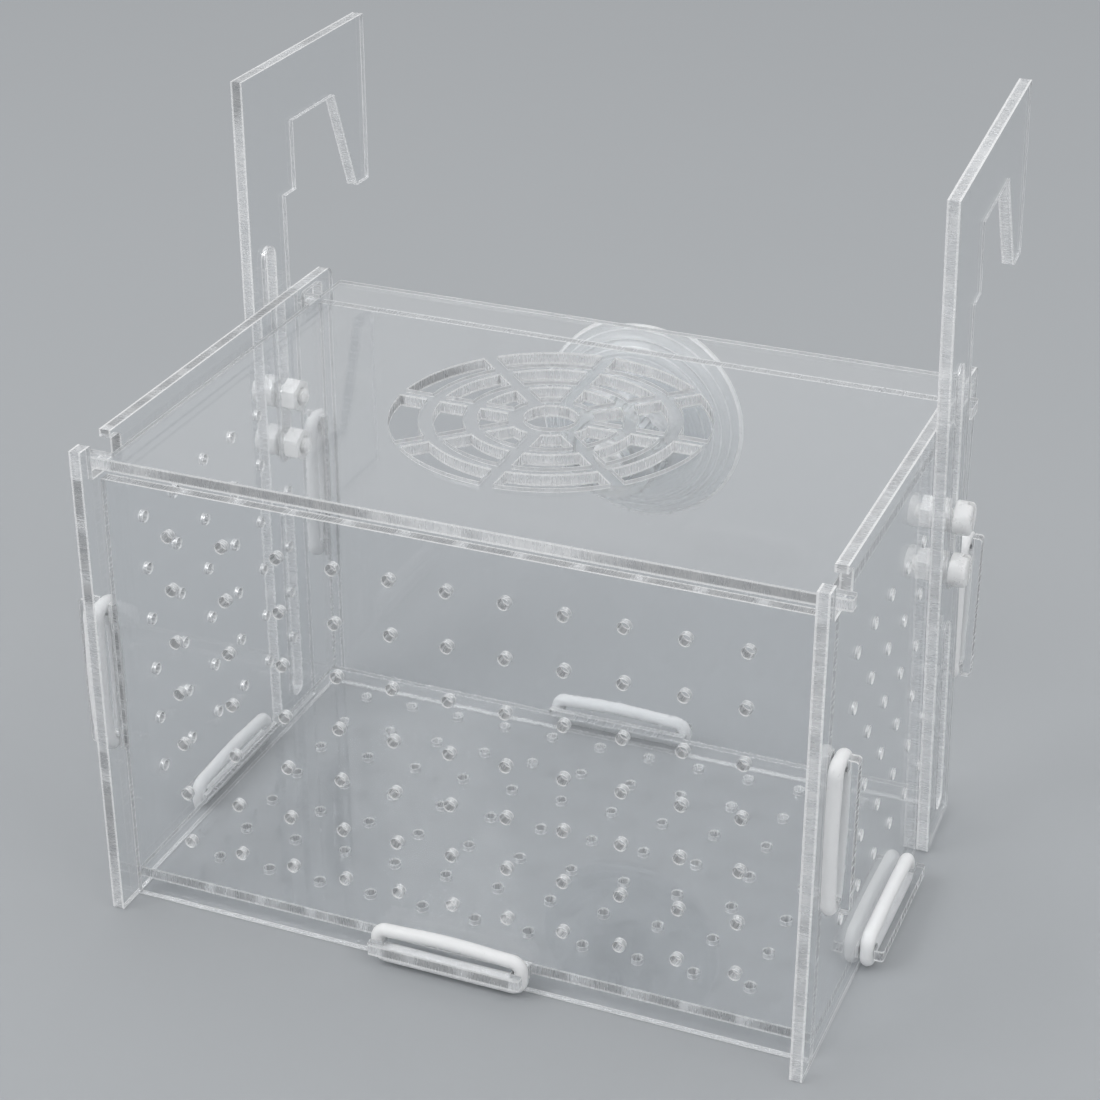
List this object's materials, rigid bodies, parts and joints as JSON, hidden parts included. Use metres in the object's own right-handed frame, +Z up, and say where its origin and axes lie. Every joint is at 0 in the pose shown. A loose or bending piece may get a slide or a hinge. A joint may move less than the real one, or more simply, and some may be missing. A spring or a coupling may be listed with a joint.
{
  "type": "fish breeding box",
  "caption": "Clear hanging breeding box of slotted plates held by silicone rings, with a lid with a round grille, sliding rim hooks on clamp screws and a suction cup.",
  "frame": {"origin": "middle of the footprint over all pieces, level with the feet of the side panels", "axes": "+X to the right seen from the front, +Y to the back where the aquarium wall is, +Z up"},
  "size_m": [0.1628, 0.1312, 0.161],
  "materials": {
    "clear_acrylic": "clear cast acrylic with frosted laser-cut edges",
    "silicone": "milky translucent silicone",
    "white_plastic": "natural translucent nylon",
    "clear_vinyl": "clear soft vinyl"
  },
  "bodies": {
    "box": {"side_panel_left": "clear_acrylic", "side_panel_right": "clear_acrylic", "front_panel": "clear_acrylic", "back_panel": "clear_acrylic", "bottom_panel": "clear_acrylic", "ring_front_left": "silicone", "ring_front_right": "silicone", "ring_back_left": "silicone", "ring_back_right": "silicone", "ring_bottom_left": "silicone", "ring_bottom_right": "silicone", "ring_bottom_front": "silicone", "ring_bottom_back": "silicone"},
    "lid": {"lid": "clear_acrylic"},
    "hook_left": {"hook_left": "clear_acrylic"},
    "hook_right": {"hook_right": "clear_acrylic"},
    "screw_left_upper": {"screw_left_upper": "white_plastic"},
    "screw_left_lower": {"screw_left_lower": "white_plastic"},
    "screw_right_upper": {"screw_right_upper": "white_plastic"},
    "screw_right_lower": {"screw_right_lower": "white_plastic"},
    "nut_left_upper": {"nut_left_upper": "white_plastic"},
    "nut_left_lower": {"nut_left_lower": "white_plastic"},
    "nut_right_upper": {"nut_right_upper": "white_plastic"},
    "nut_right_lower": {"nut_right_lower": "white_plastic"},
    "suction_cup": {"suction_cup": "clear_vinyl"},
    "cup_nut": {"cup_nut": "clear_acrylic"}
  },
  "joints": [
    {"name": "lid_open", "type": "hinge", "parent": "box", "child": "lid", "pos_m": [0, 0.03438, 0.0981], "axis": [-1, 0, 0], "range_deg": [0, 27]},
    {"name": "hook_left_slide", "type": "slide", "parent": "box", "child": "hook_left", "axis": [0, 0, 1], "range_m": [-0.025, 0.0029]},
    {"name": "hook_right_slide", "type": "slide", "parent": "box", "child": "hook_right", "axis": [0, -0.122, 0.9925], "range_m": [-0.033, 0.0027]},
    {"name": "screw_left_upper_turn", "type": "hinge", "parent": "box", "child": "screw_left_upper", "pos_m": [-0.079, 0.01667, 0.0819], "axis": [-1, 0, 0], "continuous": true},
    {"name": "nut_left_upper_turn", "type": "hinge", "parent": "box", "child": "nut_left_upper", "pos_m": [-0.0706, 0.01667, 0.0819], "axis": [-1, 0, 0], "continuous": true},
    {"name": "screw_left_lower_turn", "type": "hinge", "parent": "box", "child": "screw_left_lower", "pos_m": [-0.079, 0.01667, 0.0701], "axis": [-1, 0, 0], "continuous": true},
    {"name": "nut_left_lower_turn", "type": "hinge", "parent": "box", "child": "nut_left_lower", "pos_m": [-0.0706, 0.01667, 0.0701], "axis": [-1, 0, 0], "continuous": true},
    {"name": "screw_right_upper_turn", "type": "hinge", "parent": "box", "child": "screw_right_upper", "pos_m": [0.079, 0.01667, 0.0819], "axis": [1, 0, 0], "continuous": true},
    {"name": "nut_right_upper_turn", "type": "hinge", "parent": "box", "child": "nut_right_upper", "pos_m": [0.0706, 0.01667, 0.0819], "axis": [1, 0, 0], "continuous": true},
    {"name": "screw_right_lower_turn", "type": "hinge", "parent": "box", "child": "screw_right_lower", "pos_m": [0.079, 0.01667, 0.0701], "axis": [1, 0, 0], "continuous": true},
    {"name": "nut_right_lower_turn", "type": "hinge", "parent": "box", "child": "nut_right_lower", "pos_m": [0.0706, 0.01667, 0.0701], "axis": [1, 0, 0], "continuous": true},
    {"name": "cup_nut_turn", "type": "hinge", "parent": "box", "child": "cup_nut", "pos_m": [0, 0.03008, 0.076], "axis": [0, 1, 0], "continuous": true},
    {"name": "suction_cup_turn", "type": "hinge", "parent": "box", "child": "suction_cup", "pos_m": [0, 0.03648, 0.076], "axis": [0, 1, 0], "continuous": true}
  ]
}
